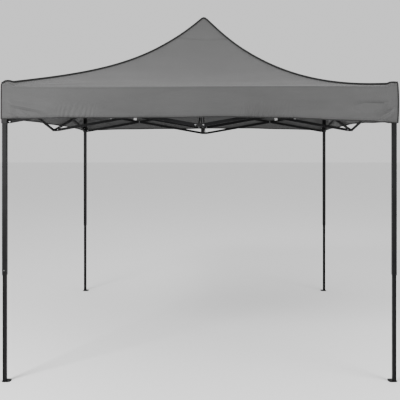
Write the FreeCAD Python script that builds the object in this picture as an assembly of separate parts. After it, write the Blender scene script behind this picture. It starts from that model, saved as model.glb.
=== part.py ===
import FreeCAD, Part
import math
import os

# Pop-up canopy on a folding steel frame: four telescopic legs, four side trusses, four cross trusses
# to a centre pole, and a fabric roof with a hanging valance.
# Millimetres, Z up, ground at Z = 0, the centre pole on the Z axis, the front side towards -Y.
V = FreeCAD.Vector
ORIGIN = V(0, 0, 0)
AXIS_X = V(1, 0, 0)
AXIS_Y = V(0, 1, 0)
AXIS_Z = V(0, 0, 1)

# Four sides, each a quarter turn from the one before, and the corner that each side starts from.
SIDES = ["front", "right", "back", "left"]
CORNERS = ["front_left", "front_right", "back_right", "back_left"]
HALVES = [("left", "right"), ("front", "back"), ("right", "left"), ("back", "front")]

# Canopy fabric
CANOPY_HALF = 1490.0
EAVE_Z = 2240.0
VALANCE_BOTTOM_Z = 1965.0
PEAK_Z = 3025.0
FABRIC_T = 1.0

# Legs: an outer square tube and a smaller one that slides in it
LEG_AT = 1460.0
LEG_OUTER = 34.0
LEG_WALL = 1.2
LEG_EDGE_R = 2.5
LEG_TOP_Z = 2229.0
LEG_JOINT_Z = 800.0
BUSH_RIM = 3.0
BUSH_DEPTH = 22.0
FOOT_TUBE = 28.0
FOOT_TUBE_TOP_Z = 950.0
FOOT_TUBE_EDGE_R = 2.0
PLATE_T = 4.0
PLATE_OUT = 22.0
PLATE_IN = 44.0
PLATE_CORNER_R = 20.0
PEG_R = 5.0
PEG_NEAR = 0.0
PEG_FAR = 32.0

# Spring button that locks the telescopic leg
BUTTON_Z = 832.0
BUTTON_R = 4.0
BUTTON_PROUD = 2.0
BUTTON_EDGE_R = 1.4

# Truss bars: rectangular steel tube on edge, two to a scissor pair in neighbouring layers
BAR_H = 25.0
BAR_T = 10.0
BAR_WALL = 0.8
BAR_END = 13.0
BAR_EDGE_R = 1.5
BAR_LAYER = 6.0
BAR_ANGLE = math.radians(10.08)
LEG_PIN = 37.0
MID_PIN = 30.0
HUB_PIN = 37.0
PIVOT_SHARE = 0.45
TOP_PIN_Z = 2170.1

# Rivets and their holes: a running fit at a hinge, and a loose fit where a loop of bars closes
RIVET_R = 3.0
HINGE_R = 3.05
LOOSE_R = 3.4
HEAD_R = 5.5
HEAD_T = 2.2
HEAD_EDGE_R = 1.6
WASHER_R = 7.0
SIDE_GAP = 0.4

# Moulded brackets
CHEEK_T = 3.0
CHEEK_R = 12.0
CAP_HALF = 21.0
CAP_BOTTOM_Z = 2148.0
CAP_TOP_Z = 2233.0
CAP_EDGE_R = 8.0
CAP_RIM_R = 7.0
SLIDER_HALF = 22.0
SLIDER_BORE_HALF = 17.8
SLIDER_BELOW = 13.0
SLIDER_ABOVE = 46.0
BLOCK_EDGE_R = 4.0
LATCH_UP = 32.0
LATCH_R = 4.0
LATCH_SIDE = -7.0
BOSS_R = 7.0
BOSS_LENGTH = 9.0
KNOB_R = 6.5
KNOB_LENGTH = 7.0
KNOB_GAP = 6.4
MID_HALF = 16.0
MID_HEIGHT = 13.0
MID_EDGE_R = 3.0
HUB_HALF = 23.0
HUB_HEIGHT = 14.0

# Centre pole and its guide
POLE_R = 12.5
POLE_WALL = 1.2
GUIDE_BORE_R = 13.2
GUIDE_R = 17.0
GUIDE_BOTTOM_Z = 1978.0
SOCKET_BOTTOM_Z = 1885.0
POLE_TOP_Z = 3000.0

# The run between the end pins of every bar is the same, so the frame folds evenly
RUN = LEG_AT - LEG_PIN - MID_PIN
BAR_LENGTH = RUN / math.cos(BAR_ANGLE)
NEAR_ARM = PIVOT_SHARE * BAR_LENGTH
FAR_ARM = BAR_LENGTH - NEAR_ARM
PIVOT_Z = TOP_PIN_Z - NEAR_ARM * math.sin(BAR_ANGLE)
SLIDE_PIN_Z = PIVOT_Z - NEAR_ARM * math.sin(BAR_ANGLE)
MID_LOW_Z = PIVOT_Z - FAR_ARM * math.sin(BAR_ANGLE)
MID_HIGH_Z = PIVOT_Z + FAR_ARM * math.sin(BAR_ANGLE)


def block(x0, x1, y0, y1, z0, z1):
    return Part.makeBox(x1 - x0, y1 - y0, z1 - z0, V(x0, y0, z0))


def square_block(half, z0, z1):
    return block(-half, half, -half, half, z0, z1)


def edges_along(shape, direction):
    found = []
    for edge in shape.Edges:
        way = edge.tangentAt(edge.FirstParameter)
        if abs(way.dot(direction)) > 0.999:
            found.append(edge)
    return found


def soften(shape, direction, radius):
    return shape.makeFillet(radius, edges_along(shape, direction))


def cylinder_y(radius, x, z, y0, y1):
    return Part.makeCylinder(radius, y1 - y0, V(x, y0, z), AXIS_Y)


def cylinder_z(radius, z0, z1, x=0.0, y=0.0):
    return Part.makeCylinder(radius, z1 - z0, V(x, y, z0), AXIS_Z)


def quarter_turned(shape, turns):
    return shape.copy().rotate(ORIGIN, AXIS_Z, 90.0 * turns)


def mirrored_x(shape):
    return shape.mirror(ORIGIN, AXIS_X)


def moved(shape, x, y, z=0.0):
    copy = shape.copy()
    copy.translate(V(x, y, z))
    return copy


def rivet(x, z, y0, y1):
    """A rivet along Y with a domed head outside each of the faces y0 and y1."""
    shank = cylinder_y(RIVET_R, x, z, y0 - 0.5, y1 + 0.5)
    near = cylinder_y(HEAD_R, x, z, y0 - HEAD_T, y0)
    far = cylinder_y(HEAD_R, x, z, y1, y1 + HEAD_T)
    near = near.makeFillet(HEAD_EDGE_R, [e for e in near.Edges if abs(e.CenterOfMass.y - y0 + HEAD_T) < 0.01])
    far = far.makeFillet(HEAD_EDGE_R, [e for e in far.Edges if abs(e.CenterOfMass.y - y1 - HEAD_T) < 0.01])
    return shank.fuse([near, far]).removeSplitter()


def bar(start, end, layer, start_r, end_r):
    """A truss bar between two pins given as (x, z), with rounded ends and a hole at its pivot."""
    dx = end[0] - start[0]
    dz = end[1] - start[1]
    length = math.hypot(dx, dz)
    side = BAR_T / 2
    tall = BAR_H / 2
    outer = block(-BAR_END, length + BAR_END, -side, side, -tall, tall)
    outer = soften(outer, AXIS_X, BAR_EDGE_R)
    hollow = block(-2 * BAR_END, length + 2 * BAR_END, BAR_WALL - side, side - BAR_WALL,
                   BAR_WALL - tall, tall - BAR_WALL)
    ends = block(0, length, -side, side, -tall, tall)
    ends = ends.fuse([cylinder_y(tall, 0, 0, -side, side), cylinder_y(tall, length, 0, -side, side)])
    body = outer.cut(hollow).common(ends)
    holes = [
        cylinder_y(start_r, 0, 0, -BAR_T, BAR_T),
        cylinder_y(HINGE_R, PIVOT_SHARE * length, 0, -BAR_T, BAR_T),
        cylinder_y(end_r, length, 0, -BAR_T, BAR_T),
    ]
    body = body.cut(holes)
    body.rotate(ORIGIN, AXIS_Y, -math.degrees(math.atan2(dz, dx)))
    body.translate(V(start[0], layer, start[1]))
    return body


def pivot_parts(start_x, direction=1.0):
    """The rivet and spacer washer of a scissor pair, carried by the bar in the outer layer."""
    x = start_x + direction * PIVOT_SHARE * RUN
    reach = BAR_LAYER + BAR_T / 2
    pin = rivet(x, PIVOT_Z, -reach, reach + 0.3)
    washer = cylinder_y(WASHER_R, x, PIVOT_Z, BAR_T / 2 - BAR_LAYER, BAR_LAYER - BAR_T / 2 - 0.3)
    washer = washer.cut(cylinder_y(HINGE_R, x, PIVOT_Z, -2 * BAR_T, 2 * BAR_T))
    return [pin, washer]


def clevis(block_half, pin_x, pin_z, layer):
    """Two cheeks on either side of one bar end, reaching out along X."""
    inner = BAR_T / 2 + SIDE_GAP
    cheeks = []
    for low in (layer - inner - CHEEK_T, layer + inner):
        high = low + CHEEK_T
        arm = block(block_half - 3.0, pin_x, low, high, pin_z - CHEEK_R, pin_z + CHEEK_R)
        cheeks.append(arm.fuse(cylinder_y(CHEEK_R, pin_x, pin_z, low, high)))
    return cheeks


def clevis_hole(pin_x, pin_z):
    return cylinder_y(HINGE_R, pin_x, pin_z, -40.0, 40.0)


def clevis_rivet(pin_x, pin_z, layer):
    reach = BAR_T / 2 + SIDE_GAP + CHEEK_T
    return rivet(pin_x, pin_z, layer - reach, layer + reach)


def armed(core, arms):
    """A moulding with clevises: core plus arms, each arm as (pin distance, pin height, layer, turn)."""
    rivets = []
    body = core
    for block_half, pin_x, pin_z, layer, place in arms:
        cheeks = [place(c) for c in clevis(block_half, pin_x, pin_z, layer)]
        body = body.fuse(cheeks)
        body = body.cut(place(clevis_hole(pin_x, pin_z).common(block(0, 90, -40, 40, 0, 4000))))
        rivets.append(place(clevis_rivet(pin_x, pin_z, layer)))
    return [body.removeSplitter()] + rivets


def straight(shape):
    return shape


def inward(shape):
    return quarter_turned(shape, 1)


def diagonal(shape):
    """Swap X and Y, for the second arm of a corner part."""
    return shape.mirror(ORIGIN, V(1, -1, 0))


def corner_cap():
    """The moulding on top of a leg, with an arm for each side truss."""
    core = soften(square_block(CAP_HALF, CAP_BOTTOM_Z, CAP_TOP_Z), AXIS_Z, CAP_EDGE_R)
    rim = [e for e in core.Edges if e.BoundBox.ZMin > CAP_TOP_Z - 0.01]
    core = core.makeFillet(CAP_RIM_R, rim)
    core = core.cut(square_block(LEG_OUTER / 2 + 0.1, CAP_BOTTOM_Z - 1, LEG_TOP_Z + 0.2))
    arms = [
        (CAP_HALF, LEG_PIN, TOP_PIN_Z, -BAR_LAYER, straight),
        (CAP_HALF, LEG_PIN, TOP_PIN_Z, -BAR_LAYER, diagonal),
    ]
    return armed(core, arms)


def slider():
    """The collar that runs on the upper leg, with an arm for each side truss and a boss for its latch."""
    low = SLIDE_PIN_Z - SLIDER_BELOW
    high = SLIDE_PIN_Z + SLIDER_ABOVE
    core = soften(square_block(SLIDER_HALF, low, high), AXIS_Z, BLOCK_EDGE_R)
    latch_z = SLIDE_PIN_Z + LATCH_UP
    boss = Part.makeCylinder(BOSS_R, BOSS_LENGTH, V(SLIDER_HALF - 3.0, LATCH_SIDE, latch_z), AXIS_X)
    core = core.fuse(boss)
    core = core.cut(square_block(SLIDER_BORE_HALF, low - 1, high + 1))
    core = core.cut(Part.makeCylinder(LATCH_R + 0.3, 40.0, V(5.0, LATCH_SIDE, latch_z), AXIS_X))
    arms = [
        (SLIDER_HALF, LEG_PIN, SLIDE_PIN_Z, BAR_LAYER, straight),
        (SLIDER_HALF, LEG_PIN, SLIDE_PIN_Z, BAR_LAYER, diagonal),
    ]
    return armed(core, arms)


def slider_pin():
    """The pull pin in the slider's boss: a plain shank with a round knob."""
    z = SLIDE_PIN_Z + LATCH_UP
    shank = Part.makeCylinder(LATCH_R, 12.0, V(SLIDER_HALF - 4.0, LATCH_SIDE, z), AXIS_X)
    knob = Part.makeCylinder(KNOB_R, KNOB_LENGTH, V(SLIDER_HALF + KNOB_GAP, LATCH_SIDE, z), AXIS_X)
    outer_end = SLIDER_HALF + KNOB_GAP + KNOB_LENGTH
    knob = knob.makeFillet(1.5, [e for e in knob.Edges if e.BoundBox.XMin > outer_end - 0.1])
    return [shank.fuse(knob).removeSplitter()]


def upper_leg():
    """The outer tube of a leg, with a plastic bush in its lower mouth."""
    half = LEG_OUTER / 2
    tube = soften(square_block(half, LEG_JOINT_Z, LEG_TOP_Z), AXIS_Z, LEG_EDGE_R)
    tube = tube.cut(square_block(half - LEG_WALL, LEG_JOINT_Z - 1, LEG_TOP_Z + 1))
    tube = tube.cut(cylinder_y(BUTTON_R + 0.4, 0, BUTTON_Z, -LEG_OUTER, 0))
    rim = soften(square_block(half, LEG_JOINT_Z - BUSH_RIM, LEG_JOINT_Z), AXIS_Z, LEG_EDGE_R)
    sleeve = square_block(half - LEG_WALL - 0.2, LEG_JOINT_Z, LEG_JOINT_Z + BUSH_DEPTH)
    bush = rim.fuse(sleeve)
    mouth = square_block(FOOT_TUBE / 2 + 0.35, LEG_JOINT_Z - 10, LEG_JOINT_Z + 40)
    return [tube, bush.cut(mouth).removeSplitter()]


def lower_leg():
    """The inner tube of a leg on a flat foot plate with two holes for ground pegs."""
    half = FOOT_TUBE / 2
    tube = soften(square_block(half, PLATE_T, FOOT_TUBE_TOP_Z), AXIS_Z, FOOT_TUBE_EDGE_R)
    tube = tube.cut(square_block(half - LEG_WALL, 0, FOOT_TUBE_TOP_Z + 1))
    plate = soften(block(-PLATE_OUT, PLATE_IN, -PLATE_OUT, PLATE_IN, 0, PLATE_T), AXIS_Z, PLATE_CORNER_R)
    holes = [
        cylinder_z(PEG_R, -1, PLATE_T + 1, PEG_FAR, PEG_NEAR),
        cylinder_z(PEG_R, -1, PLATE_T + 1, PEG_NEAR, PEG_FAR),
    ]
    return [tube, plate.cut(holes)]


def leg_button():
    """The domed steel button in the wall of the upper leg."""
    out = LEG_OUTER / 2 + BUTTON_PROUD
    body = cylinder_y(BUTTON_R, 0, BUTTON_Z, -out, LEG_WALL - LEG_OUTER / 2)
    return [body.makeFillet(BUTTON_EDGE_R, [e for e in body.Edges if e.BoundBox.YMax < 0.01 - out])]


def mid_bracket(pin_z, side_layer, cross_layer):
    """The moulding at the middle of a side: two arms along the side and one inwards."""
    core = square_block(MID_HALF, pin_z - MID_HEIGHT, pin_z + MID_HEIGHT)
    core = soften(core, AXIS_Z, MID_EDGE_R)
    arms = [
        (MID_HALF, MID_PIN, pin_z, side_layer, straight),
        (MID_HALF, MID_PIN, pin_z, side_layer, mirrored_x),
        (MID_HALF, MID_PIN, pin_z, -cross_layer, inward),
    ]
    return [moved(s, 0, -LEG_AT) for s in armed(core, arms)]


def cross_arm_turn(turns):
    return lambda shape: quarter_turned(shape, turns)


def hub_core(pin_z):
    core = square_block(HUB_HALF, pin_z - HUB_HEIGHT, pin_z + HUB_HEIGHT)
    return soften(core, AXIS_Z, BLOCK_EDGE_R)


def hub_arms(pin_z, layer):
    return [(HUB_HALF, HUB_PIN, pin_z, layer, cross_arm_turn(k)) for k in range(4)]


def hub_upper():
    """The fixed hub, with a long guide that the centre pole slides through."""
    core = hub_core(TOP_PIN_Z).fuse(cylinder_z(GUIDE_R, GUIDE_BOTTOM_Z, TOP_PIN_Z + 20.0))
    core = core.cut(cylinder_z(GUIDE_BORE_R, GUIDE_BOTTOM_Z - 1, TOP_PIN_Z + 40.0))
    return armed(core, hub_arms(TOP_PIN_Z, -BAR_LAYER))


def hub_lower():
    """The hub that carries the centre pole in a blind socket."""
    core = hub_core(SLIDE_PIN_Z).fuse(cylinder_z(GUIDE_R, SOCKET_BOTTOM_Z, SLIDE_PIN_Z))
    core = core.cut(cylinder_z(POLE_R + 0.1, SOCKET_BOTTOM_Z + 4.0, SLIDE_PIN_Z + 40.0))
    return armed(core, hub_arms(SLIDE_PIN_Z, BAR_LAYER))


def centre_pole():
    """The round pole that lifts the peak, with a plastic dome in its top."""
    tube = cylinder_z(POLE_R, SOCKET_BOTTOM_Z + 4.0, POLE_TOP_Z)
    tube = tube.cut(cylinder_z(POLE_R - POLE_WALL, SOCKET_BOTTOM_Z, POLE_TOP_Z + 1))
    dome = Part.makeSphere(POLE_R, V(0, 0, POLE_TOP_Z)).common(square_block(60, POLE_TOP_Z, PEAK_Z))
    plug = cylinder_z(POLE_R - POLE_WALL - 0.1, POLE_TOP_Z - 20.0, POLE_TOP_Z)
    return [tube, dome.fuse(plug).removeSplitter()]


def side_bars():
    """The four bars of the front truss: for each half, one from the leg top and one from the slider."""
    near = -LEG_AT + LEG_PIN
    far = -MID_PIN
    top = bar((near, TOP_PIN_Z), (far, MID_LOW_Z), -BAR_LAYER, HINGE_R, HINGE_R)
    slide = bar((near, SLIDE_PIN_Z), (far, MID_HIGH_Z), BAR_LAYER, HINGE_R, LOOSE_R)
    return [top] + pivot_parts(near), [slide]


def loop_end_bars():
    """The same two bars for the trusses whose leg ends close a loop, with looser holes there."""
    near = -LEG_AT + LEG_PIN
    far = -MID_PIN
    top = bar((near, TOP_PIN_Z), (far, MID_LOW_Z), -BAR_LAYER, LOOSE_R, HINGE_R)
    slide = bar((near, SLIDE_PIN_Z), (far, MID_HIGH_Z), BAR_LAYER, LOOSE_R, LOOSE_R)
    return [top] + pivot_parts(near), [slide]


def cross_bars(low_hub_r):
    """The two bars from the hubs to the middle of the front side, drawn along X from the Z axis."""
    far = LEG_AT - MID_PIN
    top = bar((HUB_PIN, TOP_PIN_Z), (far, MID_LOW_Z), -BAR_LAYER, HINGE_R, HINGE_R)
    low = bar((HUB_PIN, SLIDE_PIN_Z), (far, MID_HIGH_Z), BAR_LAYER, low_hub_r, HINGE_R)
    return [top] + pivot_parts(HUB_PIN), [low]


def roof_profile(half, lift, bottom):
    """A prism along X under the front half of the roof's curve: level at the eave, steepest at the peak."""
    eave = EAVE_Z + lift
    peak = PEAK_Z + lift
    curve = Part.BezierCurve()
    curve.setPoles([V(-half, -half, eave), V(-half, -half / 2, eave), V(-half, 0, peak)])
    walls = [
        Part.makeLine(V(-half, 0, peak), V(-half, 0, bottom)),
        Part.makeLine(V(-half, 0, bottom), V(-half, -half, bottom)),
        Part.makeLine(V(-half, -half, bottom), V(-half, -half, eave)),
    ]
    return Part.Face(Part.Wire([curve.toShape()] + walls)).extrude(V(2 * half, 0, 0))


def front_wedge():
    """The quarter of the plan in front of the two diagonals."""
    reach = CANOPY_HALF + 10.0
    corners = [V(0, 0, 0), V(-reach, -reach, 0), V(reach, -reach, 0), V(0, 0, 0)]
    return Part.Face(Part.makePolygon(corners)).extrude(V(0, 0, PEAK_Z + 100.0))


def canopy():
    """The fabric: four curved roof faces meeting at hips, and a valance all round."""
    outer = roof_profile(CANOPY_HALF, 0.0, VALANCE_BOTTOM_Z)
    inner = roof_profile(CANOPY_HALF - FABRIC_T, -FABRIC_T * 1.2, VALANCE_BOTTOM_Z - 20.0)
    inner_wide = inner.copy()
    inner_wide.translate(V(-50, 0, 0))
    inner = inner.fuse(inner_wide)
    inner_wide.translate(V(100, 0, 0))
    quarter = outer.cut(inner.fuse(inner_wide)).common(front_wedge())
    quarters = [quarter_turned(quarter, k) for k in range(4)]
    return [quarters[0].fuse(quarters[1:]).removeSplitter()]


def shifted(shapes):
    return [moved(s, 0, -LEG_AT) for s in shapes]


def save(name, shapes):
    Part.makeCompound(shapes).exportStep(os.path.join("parts", name + ".step"))


def save_turned(name, shapes, turns):
    save(name, [quarter_turned(s, turns) for s in shapes])


def save_corners():
    corner_parts = {
        "leg_cap": corner_cap(),
        "slider": slider(),
        "slider_pin": slider_pin(),
        "upper_leg": upper_leg(),
        "lower_leg": lower_leg(),
        "leg_button": leg_button(),
    }
    for label, shapes in corner_parts.items():
        placed = [moved(s, -LEG_AT, -LEG_AT) for s in shapes]
        for k, corner in enumerate(CORNERS):
            save_turned(label + "_" + corner, placed, k)


def save_sides():
    mid_upper = mid_bracket(MID_HIGH_Z, BAR_LAYER, BAR_LAYER)
    mid_lower = mid_bracket(MID_LOW_Z, -BAR_LAYER, -BAR_LAYER)
    carrying = side_bars()
    closing = loop_end_bars()
    for k, side in enumerate(SIDES):
        save_turned("mid_upper_" + side, mid_upper, k)
        save_turned("mid_lower_" + side, mid_lower, k)
        top, slide = carrying if k % 2 == 0 else closing
        for half, flip in zip(HALVES[k], (straight, mirrored_x)):
            label = "_" + side + "_" + half
            save_turned("bar_top" + label, shifted([flip(s) for s in top]), k)
            save_turned("bar_slide" + label, shifted([flip(s) for s in slide]), k)


def save_cross():
    for k, side in enumerate(SIDES):
        top, low = cross_bars(HINGE_R if k == 0 else LOOSE_R)
        save_turned("bar_cross_top_" + side, top, k - 1)
        save_turned("bar_cross_low_" + side, low, k - 1)


os.makedirs("parts", exist_ok=True)
save_corners()
save_sides()
save_cross()
save("hub_upper", hub_upper())
save("hub_lower", hub_lower())
save("centre_pole", centre_pole())
save("canopy", canopy())
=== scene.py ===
import math

import bpy
import numpy as np
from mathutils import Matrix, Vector


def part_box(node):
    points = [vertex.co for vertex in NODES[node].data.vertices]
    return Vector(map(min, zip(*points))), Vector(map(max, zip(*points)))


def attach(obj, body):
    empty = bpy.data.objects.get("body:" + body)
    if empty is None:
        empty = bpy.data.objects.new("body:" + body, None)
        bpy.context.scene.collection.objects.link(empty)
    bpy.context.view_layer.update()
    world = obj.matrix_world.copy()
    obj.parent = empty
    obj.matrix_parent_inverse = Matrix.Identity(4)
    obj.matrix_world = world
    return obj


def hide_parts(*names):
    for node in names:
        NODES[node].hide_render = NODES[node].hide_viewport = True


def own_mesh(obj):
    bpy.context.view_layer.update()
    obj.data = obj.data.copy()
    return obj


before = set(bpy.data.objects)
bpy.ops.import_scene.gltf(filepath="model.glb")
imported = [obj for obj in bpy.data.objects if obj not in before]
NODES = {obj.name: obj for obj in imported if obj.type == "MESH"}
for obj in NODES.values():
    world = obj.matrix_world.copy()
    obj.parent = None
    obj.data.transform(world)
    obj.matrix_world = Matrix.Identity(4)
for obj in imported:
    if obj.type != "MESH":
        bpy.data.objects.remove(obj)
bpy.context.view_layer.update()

SIDES = ["front", "right", "back", "left"]
CORNERS = ["front_left", "front_right", "back_right", "back_left"]
HALVES = [("left", "right"), ("front", "back"), ("right", "left"), ("back", "front")]

# Sizes in metres, from the frame; each shape is made for the front side and turned to the others
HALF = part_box("canopy")[1][0] - 0.0065
PEAK_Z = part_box("canopy")[1][2] - 0.003
VALANCE_MID_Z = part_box("canopy")[0][2] + 0.013
CAP_TOP_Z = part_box("leg_cap_front_right")[1][2]
LEG = (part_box("upper_leg_front_right")[0][0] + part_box("upper_leg_front_right")[1][0]) / 2

# Canopy by corner: each hip's height at its foot, its lean and how sharply it steepens to the peak
HIPS = [(2.226, 0.37, 3.12), (2.227, 0.045, 2.27), (2.231, 0.15, 2.5), (2.230, 0.24, 2.8)]
# how far the hem drops below the side's middle, and how high the roof crowns over the leg cap
HEM_DROPS = [0.012, 0.042, 0.022, 0.028]
CROWNS = [0.0125, 0.0, 0.008, 0.010]
# how far from the leg's axis the cap lifts the roof, how far the eave draws in, and how far the
# valance's corner bulges
CAP_REACHES = [0.075, 0.048, 0.060, 0.070]
CORNER_INSETS = [0.0042, 0.002, 0.004, 0.0045]
CORNER_BULGES = [0.0, 0.004, 0.002, 0.002]
# the share of the valance's height where its creases start
CREASE_SHARES = [0.55, 0.58, 0.45, 0.40]
# the creases' seeds, by side, for its two ends
CREASE_SEEDS = [(91, 102), (96, 97), (101, 92), (106, 107)]

# Roof: the eave, the peak and the seam of the patch round it
EAVE_Z = 2.2085
EAVE_TILT = 0.009
PEAK_ROUND = 0.010
PEAK_OFF = 0.012
SLOPE = 1.72
PATCH_T = 0.835
# depths of its inward curve, waves and creases
BELLY = 0.030
WAVE_DEPTH = 0.0035
ROOF_CREASE_DEPTH = 0.0045
# over a leg cap: the flat, the fabric's height above it, the crown's centre and radius, and the
# width of the rounded edge, its drop and the share of the crown that it drops too
CAP_FLAT = 0.022
CLOTH_GAP = 0.0035
DOME_INWARD = 0.030
DOME_RADIUS = 0.074
EDGE_WIDTH = 0.030
EDGE_DROP = 0.0045
CROWN_DROP = 0.45

# Valance: its height and the depths of its waves, lines, creases, kinks and billow
VALANCE_H = 0.245
FOLD_DEPTH = 0.0055
LINE_DEPTH = 0.0009
CREASE_DEPTH = 0.0165
KINK_DEPTH = 0.0030
BILLOW = 0.006
# how far in the frame lets it move: at the legs, and how much more along the truss
LEG_GIVE = 0.0010
TRUSS_GIVE = 0.0085

# Sewn edges: piping, binding tape on the hem, and rows of stitches
PIPING_RADIUS = 0.0055
HIP_PIPING_TALL = 0.0098
HIP_PIPING_LIFT = 0.005
TAPE_WIDTH = 0.009
TAPE_THICK = 0.0030
TAPE_UP = 0.003
TAPE_OUT = 0.0012
STITCH_HALF = 0.0011
STITCH_PITCH = 0.0042
SEAM_HALF = 0.003

# Rows and columns of the cloth grids
ROOF_GRID = (110, 96)
VALANCE_GRID = (40, 190)

# Webbing straps round the top bars: distance from the side's middle and length of the loose end,
# for the two halves of each side
STRAPS = [((0.477, 0.048), (0.566, 0.066)), ((1.02, 0.045), (1.05, 0.050)),
          ((1.10, 0.050), (1.14, 0.044)), ((0.21, 0.040), (1.00, 0.052))]
# the strap's width and thickness, its place outside the legs' axis, the loop's half depth, half
# height and corner radius, and its loose end's place and swing
STRAP_WIDTH = 0.022
STRAP_THICK = 0.0016
STRAP_OFF_LEG = 0.006
STRAP_LOOP = (0.0066, 0.0142, 0.003)
TAIL_OFF = 0.0085
TAIL_SWING = 0.010
TAIL_TOP = 0.018
HALF_BAR = 0.0125

# A solid whose middle dimension is smaller than this is a rivet or washer
RIVET_SIZE = 0.015

# Name, place, target, width and height, and power of each light
LIGHTS = [("key", (-5.5, -7.0, 7.5), (0, 0, 1.6), (2.5, 2.5), 700),
          ("fill", (7.0, -5.0, 4.5), (0, 0, 1.6), (2.5, 2.5), 380),
          ("top", (0, 1.0, 9.0), (0, 0, 2.0), (6.0, 6.0), 80),
          ("left corner", (-2.7, -3.1, 1.8), (-1.25, -1.5, 2.05), (0.8, 0.8), 80),
          ("right corner", (3.1, -3.3, 1.8), (1.4, -1.5, 2.05), (0.8, 0.8), 52)]
WORLD_STRENGTH = 0.95
FLOOR_TONE = 0.86
FLOOR_HALF = 60.0
FLOOR_Z = -0.0005
CAMERA_PLACE = (0.10, -6.095, 1.764)
CAMERA_LENS = 55.6
CAMERA_SHIFT = (-0.032, -0.135)


# ---------------------------------------------------------------- materials

def new_material(name):
    mat = bpy.data.materials.new(name)
    mat.use_nodes = True
    nodes = mat.node_tree.nodes
    return mat, nodes, mat.node_tree.links, nodes["Principled BSDF"]


def noise(nodes, links, coords, scale, detail=3.0, rough=0.5):
    n = nodes.new("ShaderNodeTexNoise")
    n.inputs["Scale"].default_value = scale
    n.inputs["Detail"].default_value = detail
    n.inputs["Roughness"].default_value = rough
    links.new(coords, n.inputs["Vector"])
    return n.outputs["Fac"]


def ramp(nodes, links, value, low, high, at=(0.3, 0.7)):
    r = nodes.new("ShaderNodeValToRGB")
    r.color_ramp.elements[0].position = at[0]
    r.color_ramp.elements[1].position = at[1]
    r.color_ramp.elements[0].color = (*low, 1)
    r.color_ramp.elements[1].color = (*high, 1)
    links.new(value, r.inputs["Fac"])
    return r.outputs["Color"]


def map_range(nodes, links, value, low, high, a=0.0, b=1.0):
    m = nodes.new("ShaderNodeMapRange")
    m.inputs["From Min"].default_value = a
    m.inputs["From Max"].default_value = b
    m.inputs["To Min"].default_value = low
    m.inputs["To Max"].default_value = high
    links.new(value, m.inputs["Value"])
    return m.outputs["Result"]


def math_node(nodes, links, operation, a, b=None):
    m = nodes.new("ShaderNodeMath")
    m.operation = operation
    for i, v in enumerate((a, b)):
        if isinstance(v, (int, float)):
            m.inputs[i].default_value = v
        elif v is not None:
            links.new(v, m.inputs[i])
    return m.outputs[0]


def mixed(nodes, links, share, color, other):
    """The color socket where share is 0, and the plain color other where it is 1."""
    m = nodes.new("ShaderNodeMix")
    m.data_type = "RGBA"
    for socket in m.inputs:
        if socket.name == "A" and socket.type == "RGBA":
            links.new(color, socket)
        elif socket.name == "B" and socket.type == "RGBA":
            socket.default_value = (*other, 1)
    links.new(share, m.inputs[0])
    return next(o for o in m.outputs if o.type == "RGBA")


def bump(nodes, links, shader, height, strength, distance):
    b = nodes.new("ShaderNodeBump")
    b.inputs["Strength"].default_value = strength
    b.inputs["Distance"].default_value = distance
    links.new(height, b.inputs["Height"])
    links.new(b.outputs["Normal"], shader.inputs["Normal"])


def vector_part(nodes, links, vector, part):
    split = nodes.new("ShaderNodeSeparateXYZ")
    links.new(vector, split.inputs[0])
    return split.outputs[part]


def line_mask(nodes, links, value, at, half_width):
    """1 where value is within half_width of at, else 0."""
    gap = math_node(nodes, links, "ABSOLUTE", math_node(nodes, links, "SUBTRACT", value, at))
    return math_node(nodes, links, "LESS_THAN", gap, half_width)


def dashes(nodes, links, value, pitch):
    """1 on the stitches and 0 on the gaps between them, along value."""
    share = math_node(nodes, links, "FRACT", math_node(nodes, links, "DIVIDE", value, pitch))
    return math_node(nodes, links, "LESS_THAN", share, 0.62)


def weave_height(nodes, links, uv, weave):
    heights = []
    for direction in ("X", "Y"):
        wave = nodes.new("ShaderNodeTexWave")
        wave.bands_direction = direction
        wave.inputs["Scale"].default_value = 320.0
        wave.inputs["Distortion"].default_value = 0.6
        wave.inputs["Detail"].default_value = 1.0
        links.new(uv, wave.inputs["Vector"])
        heights.append(wave.outputs["Fac"])
    return math_node(nodes, links, "MULTIPLY", math_node(nodes, links, "ADD", *heights), weave)


def stitch_rows(nodes, links, uv, rows, slant):
    """Rows of stitches at the given heights up the cloth and distances in from its slanted side."""
    u = math_node(nodes, links, "ABSOLUTE", vector_part(nodes, links, uv, "X"))
    v = vector_part(nodes, links, uv, "Y")
    total = None
    for kind, at in rows:
        if kind == "level":
            row = line_mask(nodes, links, v, at, STITCH_HALF)
            row = math_node(nodes, links, "MULTIPLY", row, dashes(nodes, links, u, STITCH_PITCH))
        else:
            side = math_node(nodes, links, "SUBTRACT", HALF, math_node(nodes, links, "MULTIPLY", v, slant))
            inset = math_node(nodes, links, "SUBTRACT", side, u)
            row = line_mask(nodes, links, inset, at, STITCH_HALF)
            row = math_node(nodes, links, "MULTIPLY", row, dashes(nodes, links, v, STITCH_PITCH))
        total = row if total is None else math_node(nodes, links, "MAXIMUM", total, row)
    return total


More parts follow.
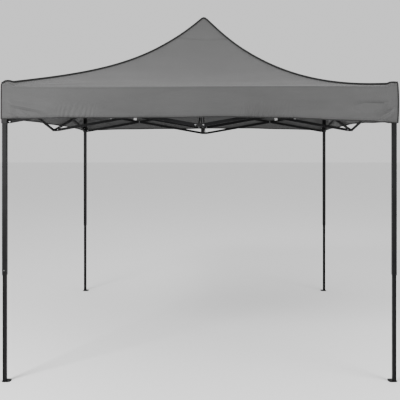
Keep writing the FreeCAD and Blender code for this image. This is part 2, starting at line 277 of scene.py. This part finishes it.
def fabric_material(name, low, high, weave=0.5, through=0.12, rows=(), slant=0.0, seams=(),
                    sheen=0.12):
    """A coated canvas: crossed yarns, faint mottling, rows of stitches, a soft sheen, light through it."""
    mat, nodes, links, shader = new_material(name)
    uv = nodes.new("ShaderNodeUVMap").outputs["UV"]
    where = nodes.new("ShaderNodeTexCoord").outputs["Object"]
    mottled = noise(nodes, links, where, 2.2, 5.0, 0.6)
    color = ramp(nodes, links, mottled, low, high, (0.25, 0.75))
    crease = noise(nodes, links, where, 9.0, 6.0, 0.55)
    height = math_node(nodes, links, "ADD", weave_height(nodes, links, uv, weave),
                       math_node(nodes, links, "MULTIPLY", crease, 2.5))
    if rows:
        thread = stitch_rows(nodes, links, uv, rows, slant)
        color = mixed(nodes, links, thread, color, tuple(c * 0.55 for c in low))
        height = math_node(nodes, links, "ADD", height, math_node(nodes, links, "MULTIPLY", thread, -1.6))
    for at in seams:
        step = line_mask(nodes, links, vector_part(nodes, links, uv, "Y"), at, SEAM_HALF)
        color = mixed(nodes, links, step, color, tuple(c * 0.72 for c in low))
        height = math_node(nodes, links, "ADD", height, math_node(nodes, links, "MULTIPLY", step, -2.0))
    links.new(color, shader.inputs["Base Color"])
    bump(nodes, links, shader, height, 0.35, 0.002)
    links.new(map_range(nodes, links, mottled, 0.62, 0.78), shader.inputs["Roughness"])
    shader.inputs["Sheen Weight"].default_value = sheen
    shader.inputs["Sheen Roughness"].default_value = 0.5
    shader.inputs["Specular IOR Level"].default_value = 0.3
    if through:
        thin = nodes.new("ShaderNodeBsdfTranslucent")
        thin.inputs["Color"].default_value = (*[c * 1.1 for c in high], 1)
        mix = nodes.new("ShaderNodeMixShader")
        mix.inputs["Fac"].default_value = through
        links.new(shader.outputs["BSDF"], mix.inputs[1])
        links.new(thin.outputs["BSDF"], mix.inputs[2])
        links.new(mix.outputs["Shader"], nodes["Material Output"].inputs["Surface"])
    return mat


def coated_steel(name, tone):
    """Black powder coat: fine orange peel and slightly uneven gloss."""
    mat, nodes, links, shader = new_material(name)
    where = nodes.new("ShaderNodeTexCoord").outputs["Object"]
    cloud = noise(nodes, links, where, 14.0, 4.0, 0.6)
    links.new(ramp(nodes, links, cloud, tuple(c * 0.85 for c in tone), tuple(c * 1.2 for c in tone)),
              shader.inputs["Base Color"])
    peel = noise(nodes, links, where, 900.0, 2.0, 0.5)
    bump(nodes, links, shader, peel, 0.12, 0.0006)
    links.new(map_range(nodes, links, cloud, 0.38, 0.52), shader.inputs["Roughness"])
    shader.inputs["Specular IOR Level"].default_value = 0.10
    return mat


def moulded_plastic(name, tone):
    """Glass-filled nylon: fine grain and a dull sheen."""
    mat, nodes, links, shader = new_material(name)
    where = nodes.new("ShaderNodeTexCoord").outputs["Object"]
    cloud = noise(nodes, links, where, 40.0, 3.0, 0.6)
    links.new(ramp(nodes, links, cloud, tuple(c * 0.8 for c in tone), tuple(c * 1.25 for c in tone)),
              shader.inputs["Base Color"])
    grain = noise(nodes, links, where, 1400.0, 2.0, 0.6)
    bump(nodes, links, shader, grain, 0.2, 0.0004)
    links.new(map_range(nodes, links, cloud, 0.5, 0.62), shader.inputs["Roughness"])
    shader.inputs["Specular IOR Level"].default_value = 0.16
    return mat


def zinc_steel(name):
    """Zinc-plated rivets and pins: a slightly blotchy bright metal."""
    mat, nodes, links, shader = new_material(name)
    where = nodes.new("ShaderNodeTexCoord").outputs["Object"]
    cloud = noise(nodes, links, where, 260.0, 4.0, 0.6)
    links.new(ramp(nodes, links, cloud, (0.22, 0.22, 0.23), (0.38, 0.38, 0.39)), shader.inputs["Base Color"])
    shader.inputs["Metallic"].default_value = 1.0
    links.new(map_range(nodes, links, cloud, 0.25, 0.42), shader.inputs["Roughness"])
    bump(nodes, links, shader, cloud, 0.1, 0.0003)
    return mat


GREY_TONES = ((0.068, 0.068, 0.068), (0.083, 0.083, 0.083))
ROOF = fabric_material("roof_canvas", *GREY_TONES, slant=HALF / SLOPE, seams=(PATCH_T * SLOPE,),
                       rows=(("level", 0.012), ("level", 0.017), ("side", 0.016), ("side", 0.021),
                             ("level", PATCH_T * SLOPE + 0.010), ("level", PATCH_T * SLOPE + 0.016)))
VALANCE = fabric_material("valance_canvas", *GREY_TONES, through=0.28,
                          rows=(("level", 0.012), ("level", VALANCE_H - 0.013),
                                ("level", VALANCE_H - 0.018)))
PIPING = fabric_material("binding_tape", (0.006, 0.006, 0.006), (0.011, 0.011, 0.011), through=0.0,
                         sheen=0.02)
WEBBING = fabric_material("strap_webbing", (0.26, 0.26, 0.26), (0.36, 0.36, 0.36), weave=1.2,
                          through=0.0)
STEEL = coated_steel("frame_powder_coat", (0.0050, 0.0050, 0.0054))
PLASTIC = moulded_plastic("moulded_nylon", (0.0065, 0.0065, 0.0068))
ZINC = zinc_steel("zinc_plate")


# ---------------------------------------------------------------- CAD nodes

def islands(mesh):
    """A label per vertex: vertices joined by edges, or lying at the same place, share one."""
    co = np.zeros(len(mesh.vertices) * 3)
    mesh.vertices.foreach_get("co", co)
    co = co.reshape(-1, 3)
    _, label = np.unique(np.round(co, 6), axis=0, return_inverse=True)
    label = label.reshape(-1)
    edges = np.zeros(len(mesh.edges) * 2, int)
    mesh.edges.foreach_get("vertices", edges)
    edges = edges.reshape(-1, 2)
    for _ in range(10000):
        ends = label[edges]
        low = ends.min(1)
        if (ends.max(1) == low).all():
            break
        fresh = np.arange(label.max() + 1)
        np.minimum.at(fresh, ends[:, 0], low)
        np.minimum.at(fresh, ends[:, 1], low)
        for _ in range(30):
            fresh = fresh[fresh]
        label = fresh[label]
    return co, label


def dress(node, main, small=None):
    """Give a CAD node its material, and its rivets and washers another."""
    mesh = node.data
    mesh.materials.clear()
    mesh.materials.append(main)
    if small is None:
        return
    mesh.materials.append(small)
    co, label = islands(mesh)
    picked = np.zeros(len(co), bool)
    for one in np.unique(label):
        inside = label == one
        if np.sort(np.ptp(co[inside], axis=0))[1] < RIVET_SIZE:
            picked |= inside
    first = np.array([p.vertices[0] for p in mesh.polygons])
    mesh.polygons.foreach_set("material_index", picked[first].astype(np.int32))


for name, node in NODES.items():
    if name.startswith("bar_"):
        dress(node, STEEL, ZINC)
    elif name.startswith(("mid_", "hub_", "leg_cap", "slider_front", "slider_back")):
        dress(node, PLASTIC, ZINC)
    elif name.startswith(("slider_pin", "leg_button")):
        dress(node, ZINC)
    elif name != "canopy":
        dress(node, STEEL)


# ---------------------------------------------------------------- cloth shapes

def smooth(x, low, high):
    s = np.clip((x - low) / (high - low), 0, 1)
    return s * s * (3 - 2 * s)


def ripple(x, y, seed, scale):
    """Smooth pseudo-random waves, about -1 to 1, from a few crossed sines."""
    r = np.random.default_rng(seed)
    total = np.zeros_like(x)
    for i in range(7):
        angle = r.uniform(0, math.pi)
        k = 2 * math.pi / (scale * r.uniform(0.6, 1.7))
        total = total + np.sin(k * (x * math.cos(angle) + y * math.sin(angle)) + r.uniform(0, 6.3))
    return total / 3.2


def by_corner(values, a, k):
    """The value of side k's own corner at each end: its first corner where a is negative."""
    return np.where(a < 0, values[k], values[(k + 1) % 4])


def hip_z(corner, t):
    foot, lean, power = HIPS[corner]
    return foot + lean * t + (PEAK_Z - foot - lean) * np.maximum(t, 0) ** power


def creases(across, down, seed, count, reach, depth, steepest=1.25):
    """Folds that fan out from the point (0, 0): across and down are the distances from it."""
    r = np.random.default_rng(seed)
    away = np.hypot(across, down)
    angle = np.arctan2(down, across + 1e-9)
    total = np.zeros_like(away)
    for i in range(count):
        way = r.uniform(-0.12, steepest)
        far = reach * r.uniform(0.45, 1.0)
        wide = r.uniform(0.010, 0.020) + 0.05 * away
        off = away * np.sin(np.clip(angle - way - 0.25 * away, -1.5, 1.5))
        along = smooth(away, 0.01, 0.09) * (1 - smooth(away, 0.35 * far, far))
        total = total + r.choice([-1, 1]) * r.uniform(0.5, 1.0) * np.exp(-(off / wide) ** 2) * along
    return depth * total


def roof_point(a, t, k):
    """A point on side k's roof, in the front side's place.

    a runs -1 to 1 along the eave, and t 0 to 1 from the eave up to the peak.
    """
    r = 1 - t
    off_x, off_y = turned(PEAK_OFF, 0.0, (4 - k) % 4)
    shift = smooth(t, 0.75, 1.0)
    x, y = HALF * a * r, -HALF * r
    up = 1 + PEAK_ROUND * (1 - r) - np.sqrt(r * r + PEAK_ROUND**2)
    share = (1 + a) / 2
    # between its two hips the roof sags to the eave, bellies inward and is drawn to the leg caps
    hips = (1 - share) * hip_z(k, up) + share * hip_z((k + 1) % 4, up)
    foot = (1 - share) * HIPS[k][0] + share * HIPS[(k + 1) % 4][0]
    eave = EAVE_Z + (EAVE_TILT * a * (1 - a * a) if k == 0 else 0.0)
    sag = (eave - foot) * (1 - np.abs(a) ** 26) * np.exp(-t / 0.16) * (1 - smooth(t, 0.55, 0.9))
    belly = -BELLY * (1 - a * a) * np.clip(4 * t * r, 0, 1) ** 1.2
    across, inward = LEG - np.abs(x), LEG + y
    pull = creases(across, inward, 41 + 7 * k + int(a.mean() > 0), 7, 0.95, ROOF_CREASE_DEPTH)
    loose = WAVE_DEPTH * ripple(x + 3.1 * k, y * 2.2, 11 + k, 0.55) * (1 - a**8) * smooth(r, 0.02, 0.25)
    z = hips + sag + belly + (pull * smooth(1 - np.abs(a), 0.0, 0.10) + loose) * smooth(t, 0.0, 0.06)
    # the fabric stands on the leg cap and rounds over its edge
    reach = by_corner(CAP_REACHES, a, k)
    on_cap = (1 - smooth(np.abs(across), CAP_FLAT, reach)) * (1 - smooth(np.abs(inward), CAP_FLAT, reach))
    crown = by_corner(CROWNS, a, k)
    off_dome = np.hypot(across - DOME_INWARD, inward - DOME_INWARD) / DOME_RADIUS
    dome = crown * np.clip(1 - off_dome**2, 0, 1)
    z = z + (np.maximum(z, CAP_TOP_Z + CLOTH_GAP + dome) - z) * on_cap
    edge = np.minimum(HALF - np.abs(x), HALF + y)
    z = z - (EDGE_DROP + CROWN_DROP * crown) * (1 - smooth(edge, 0.0, EDGE_WIDTH)) * on_cap
    inset = corner_inset(a, k) * smooth(r, 0.97, 1.0)
    return x + off_x * shift - np.sign(a) * inset, y + off_y * shift + inset, z


def corner_inset(a, k):
    """How far the eave draws in where it rounds over a leg cap."""
    return by_corner(CORNER_INSETS, a, k) * np.abs(a) ** 200


def valance_bottom_z(a, k):
    wander = 0.0035 * np.sin(a * 5.1 + 1.7 * k) * (1 - a * a) + 0.0012 * np.sin(a * 17.0 + 0.9 * k)
    return VALANCE_MID_Z - by_corner(HEM_DROPS, a, k) * a * a + wander * (1 - np.abs(a) ** 12)


def valance_point(a, s, k):
    """A point on side k's valance: s runs 0 at the eave to 1 at the hem."""
    x = HALF * a
    top = roof_point(a, np.zeros_like(a), k)[2]
    low = valance_bottom_z(a, k)
    free = 1 - np.abs(a) ** 16
    down = s * VALANCE_H
    # slow folds, fine lines, creases from the corners, kinks in its slack stretches, and a billow
    fold = FOLD_DEPTH * ripple(x + 2.3 * k, down * 0.4, 31 + k, 0.36) * np.maximum(s, 0) ** 1.3
    lines = LINE_DEPTH * ripple(x * 0.3 + k, down * 1.2, 61 + k, 0.09) * smooth(s, 0.0, 0.2)
    knot = by_corner(CREASE_SHARES, a, k) * VALANCE_H
    drag = creases(HALF - np.abs(x), down - knot, CREASE_SEEDS[k][int(a.mean() > 0)], 9, 0.60,
                   CREASE_DEPTH, 0.55)
    slack = (smooth(x, 0.26, 0.36) * (1 - smooth(x, 0.62, 0.74))
             + 0.6 * smooth(x, -1.10, -1.0) * (1 - smooth(x, -0.86, -0.72)))
    kink = KINK_DEPTH * slack * np.sin(190 * x + 12.0 * s + 3 * np.sin(17 * x + k)) * smooth(s, 0.35, 1.0)
    billow = BILLOW * np.sin(math.pi * s) * (1 - smooth(np.abs(a), 0.7, 1.0))
    # the cloth hangs outside the leg, its brackets and the truss bars
    held_out = -LEG_GIVE - TRUSS_GIVE * (1 - smooth(np.abs(x), 1.36, 1.42))
    out = np.maximum((fold + kink + lines + billow) * free + drag * (1 - np.abs(a) ** 45), held_out)
    inset = corner_inset(a, k) * (0.55 + 0.45 * np.exp(-s / 0.12))
    bulge = by_corner(CORNER_BULGES, a, k) * np.sin(math.pi * np.clip(s, 0, 1)) * np.abs(a) ** 30
    x = x + np.sign(a) * (bulge - inset)
    return x, -HALF - out - bulge + inset, top + (low - top) * s


def turned(x, y, k):
    for _ in range(k):
        x, y = -y, x
    return x, y


def add_object(name, data):
    obj = bpy.data.objects.new(name, data)
    bpy.context.scene.collection.objects.link(obj)
    return obj


def set_uv(mesh, uv):
    """A UV layer from one coordinate pair per vertex."""
    layer = mesh.uv_layers.new(name="UVMap")
    corner = np.zeros(len(mesh.loops), int)
    mesh.loops.foreach_get("vertex_index", corner)
    layer.data.foreach_set("uv", uv.reshape(-1, 2)[corner].astype(np.float32).ravel())


def grid_mesh(name, points, normals, uv, flip):
    """A mesh from arrays of shape (rows, columns, 3), with its normals kept across the pieces."""
    rows, cols = points.shape[:2]
    index = np.arange(rows * cols).reshape(rows, cols)
    quads = np.stack([index[:-1, :-1], index[:-1, 1:], index[1:, 1:], index[1:, :-1]], -1).reshape(-1, 4)
    if flip:
        quads = quads[:, ::-1]
    mesh = bpy.data.meshes.new(name)
    mesh.from_pydata(points.reshape(-1, 3).tolist(), [], quads.tolist())
    mesh.polygons.foreach_set("use_smooth", np.ones(len(mesh.polygons), bool))
    set_uv(mesh, uv)
    mesh.normals_split_custom_set_from_vertices(normals.reshape(-1, 3).tolist())
    mesh.update()
    return add_object(name, mesh)


def loft_mesh(name, line, verts, uv, material):
    """A closed tube from rings of vertices, of shape (rings, points, 3), along a line."""
    n, m = verts.shape[:2]
    index = np.arange(n * m).reshape(n, m)
    nxt = np.roll(index, -1, axis=1)
    quads = np.stack([index[:-1], nxt[:-1], nxt[1:], index[1:]], -1).reshape(-1, 4)
    faces = quads.tolist() + [index[0].tolist()[::-1], index[-1].tolist()]
    mesh = bpy.data.meshes.new(name)
    mesh.from_pydata(verts.reshape(-1, 3).tolist(), [], faces)
    run = np.concatenate([[0], np.cumsum(np.linalg.norm(np.diff(line, axis=0), axis=1))])
    set_uv(mesh, np.stack(np.broadcast_arrays(run[:, None], uv[None, :]), -1))
    mesh.materials.append(material)
    return mesh


def surface(name, shape, k, a, b, uv, flip=False):
    """A grid piece of side k from shape(a, b, k), with normals from the shape itself."""
    step = 1e-4
    def at(aa, bb):
        x, y, z = shape(aa, bb, k)
        x, y = turned(x, y, k)
        return np.stack([x, y, z + 0 * x], -1)
    points = at(a, b)
    across = at(a + step, b) - at(a - step, b)
    along = at(a, b + step) - at(a, b - step)
    normal = np.cross(across, along)
    if flip:
        normal = -normal
    size = np.linalg.norm(normal, axis=-1, keepdims=True)
    normal = np.where(size > 1e-12, normal / np.maximum(size, 1e-12), [0, 0, 1])
    return grid_mesh(name, points, normal, uv, flip)


def strip(name, line, out, width_dir, width, thick, material):
    """A band of tape along a line of points: out is its face's direction, width_dir the way it spreads."""
    line, out, width_dir = (np.asarray(v, float) for v in (line, out, width_dir))
    ring = np.array([(-0.5, -1), (-0.5, 1), (0.0, 1.15), (0.5, 1), (0.5, -1), (0.0, -1.15)])
    verts = (line[:, None, :] + ring[None, :, 0, None] * width * width_dir[:, None, :]
             + ring[None, :, 1, None] * thick / 2 * out[:, None, :])
    mesh = loft_mesh(name, line, verts, ring[:, 0] * width, material)
    mesh.validate()
    return add_object(name, mesh)


def cord_tube(name, line, radius, material, tall=None, sides=10):
    """A welt along a line of points: round, or an oval of half-height tall that stands on edge."""
    line = np.asarray(line, float)
    along = np.gradient(line, axis=0)
    along /= np.linalg.norm(along, axis=1, keepdims=True)
    up = np.where(np.abs(along[:, 2:3]) > 0.9, [[1.0, 0, 0]], [[0, 0, 1.0]])
    side = np.cross(along, up)
    side /= np.linalg.norm(side, axis=1, keepdims=True)
    other = np.cross(side, along)
    angle = np.arange(sides) * 2 * math.pi / sides
    verts = (line[:, None] + radius * np.cos(angle)[None, :, None] * side[:, None]
             + (tall or radius) * np.sin(angle)[None, :, None] * other[:, None])
    mesh = loft_mesh(name, line, verts, angle * radius, material)
    mesh.polygons.foreach_set("use_smooth", np.ones(len(mesh.polygons), bool))
    mesh.update()
    return add_object(name, mesh)


# ---------------------------------------------------------------- canopy


def fold_roof(obj, k, half):
    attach(obj, "top_" + SIDES[k] + "_" + half)
    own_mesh(obj)


def fold_valance(obj, k, half):
    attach(obj, "top_" + SIDES[k] + "_" + half)
    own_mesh(obj)


def side_line(shape, a, b, k, lift=0.0):
    """Points of side k's shape along matching arrays a and b, raised by lift."""
    x, y, z = shape(a, b, k)
    x, y = turned(x, y, k)
    return np.stack([x, y, z + lift], -1)


def toward(k, n):
    """Side k's outward direction, n times."""
    return np.broadcast_to([*turned(0.0, -1.0, k), 0.0], (n, 3))


def half_run(h, count, crowd):
    """Places along half a side, closer together towards its corner."""
    run = 1 - (1 - np.linspace(0, 1, count)) ** crowd
    return -run[::-1] if h == 0 else run


def make_roof(k, h, label):
    """Half of a side's roof: a curved gore from the eave to the peak."""
    rows, cols = ROOF_GRID
    t = np.minimum(np.linspace(0, 1, rows) ** 1.3, 0.9998)
    tt, aa = np.meshgrid(t, half_run(h, cols, 1.4), indexing="ij")
    uv = np.stack([aa * HALF * (1 - tt), tt * SLOPE], -1)
    roof = surface("roof_" + label, roof_point, k, aa, tt, uv)
    roof.data.materials.append(ROOF)
    return roof


def make_valance(k, h, label):
    rows, cols = VALANCE_GRID
    ss, aa = np.meshgrid(np.linspace(0, 1, rows), half_run(h, cols, 1.3), indexing="ij")
    uv = np.stack([aa * HALF, ss * VALANCE_H], -1)
    valance = surface("valance_" + label, valance_point, k, aa, ss, uv, flip=True)
    valance.data.materials.append(VALANCE)
    return valance


def make_hem(k, h, label):
    """Binding tape folded over the valance's lower edge."""
    a = half_run(h, VALANCE_GRID[1], 1.3)
    out = toward(k, len(a))
    line = side_line(valance_point, a, np.ones_like(a), k, TAPE_UP) + TAPE_OUT * out
    up = np.broadcast_to([0, 0, 1.0], line.shape)
    return strip("hem_" + label, line, out, up, TAPE_WIDTH, TAPE_THICK, PIPING)


def make_hip_piping(k):
    """The piped seam from a corner to the peak, sewn to the half that starts there."""
    t = np.minimum(np.linspace(0, 1, 170) ** 1.5, 0.9995)
    line = side_line(roof_point, -np.ones_like(t), t, k, HIP_PIPING_LIFT)
    return cord_tube("hip_piping_" + CORNERS[k], line, PIPING_RADIUS, PIPING, tall=HIP_PIPING_TALL)


def make_corner_piping(k):
    s = np.linspace(0, 1, 40)
    line = side_line(valance_point, -np.ones_like(s), s, k)
    return cord_tube("corner_piping_" + CORNERS[k], line, PIPING_RADIUS, PIPING)


def make_strap(k, h, label):
    """A webbing strap round the top bar of a half side, with its loose end hanging."""
    low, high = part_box("bar_top_front_left")
    pin_x, pin_z = -low[0] - HALF_BAR, high[2] - HALF_BAR
    slope = (high[2] - low[2] - 2 * HALF_BAR) / (high[0] - low[0] - 2 * HALF_BAR)
    place, tail = STRAPS[k][h]
    mid = np.array([place, -LEG - STRAP_OFF_LEG, pin_z - slope * (pin_x - place)])
    lean = math.atan(slope)
    along = np.array([math.cos(lean), 0, math.sin(lean)])
    upright = np.array([-math.sin(lean), 0, math.cos(lean)])
    # the loop is a rectangle round the bar with rounded corners, and the loose end swings away from it
    corner_y, corner_z, round_r = STRAP_LOOP
    path, out = [], []
    for turn in np.linspace(0.0, 2 * math.pi, 49):
        y, z = math.cos(turn), math.sin(turn)
        way = max(abs(y) / (corner_y - round_r), abs(z) / (corner_z - round_r))
        path.append((y / way + y * round_r, z / way + z * round_r))
        out.append((y, z))
    for step in np.linspace(0.1, 1.0, 9):
        path.append((TAIL_OFF + TAIL_SWING * step * step, -corner_z - tail * step + TAIL_TOP))
        out.append((1.0, 0.25))
    path, out = np.array(path), np.array(out)
    out /= np.linalg.norm(out, axis=1, keepdims=True)
    line = mid + path[:, :1] * [0, 1, 0] + path[:, 1:] * upright
    face = out[:, :1] * [0, 1, 0] + out[:, 1:] * upright
    wide = np.broadcast_to(along, line.shape)
    if h == 0:
        line, face, wide = (v * [-1, 1, 1] for v in (line, face, wide))
    placed = [np.stack([*turned(v[:, 0], v[:, 1], k), v[:, 2]], -1) for v in (line, face, wide)]
    strap = strip("strap_" + label, *placed, STRAP_WIDTH, STRAP_THICK, WEBBING)
    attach(strap, "top_" + label)


for k, side in enumerate(SIDES):
    for h, half in enumerate(HALVES[k]):
        label = side + "_" + half
        roof, valance, hem = (make(k, h, label) for make in (make_roof, make_valance, make_hem))
        fold_roof(roof, k, half)
        fold_valance(valance, k, half)
        fold_valance(hem, k, half)
        for cloth in (roof, valance):
            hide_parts("canopy")
        roof_seams, valance_seams = [], [hem]
        if h == 0:
            roof_seams.append(make_hip_piping(k))
            valance_seams.append(make_corner_piping(k))
            fold_roof(roof_seams[0], k, half)
            fold_valance(valance_seams[1], k, half)
        make_strap(k, h, label)


# ---------------------------------------------------------------- stage, camera, light

def plane(name, size, z, material):
    mesh = bpy.data.meshes.new(name)
    corners = [(-size, -size, z), (size, -size, z), (size, size, z), (-size, size, z)]
    mesh.from_pydata(corners, [], [(0, 1, 2, 3)])
    mesh.materials.append(material)
    return add_object(name, mesh)


def area_light(name, place, target, size, power):
    data = bpy.data.lights.new(name, "AREA")
    data.shape = "RECTANGLE"
    data.size, data.size_y = size
    data.energy = power
    obj = add_object(name, data)
    obj.location = place
    obj.rotation_mode = "QUATERNION"
    obj.rotation_quaternion = (Vector(target) - Vector(place)).to_track_quat("-Z", "Y")


floor_mat, _, _, floor_shader = new_material("floor")
floor_shader.inputs["Base Color"].default_value = (FLOOR_TONE, FLOOR_TONE, FLOOR_TONE, 1)
floor_shader.inputs["Roughness"].default_value = 0.9
floor = plane("floor", FLOOR_HALF, FLOOR_Z, floor_mat)

world = bpy.data.worlds.new("studio")
world.use_nodes = True
background = world.node_tree.nodes["Background"]
background.inputs["Color"].default_value = (1, 1, 1, 1)
background.inputs["Strength"].default_value = WORLD_STRENGTH
bpy.context.scene.world = world

for light in LIGHTS:
    area_light(*light)

camera = add_object("camera", bpy.data.cameras.new("camera"))
camera.location = CAMERA_PLACE
camera.rotation_euler = (math.radians(90), 0, 0)
camera.data.lens = CAMERA_LENS
camera.data.sensor_width = 36.0
camera.data.shift_x, camera.data.shift_y = CAMERA_SHIFT
camera.data.clip_end = 200.0
bpy.context.scene.camera = camera
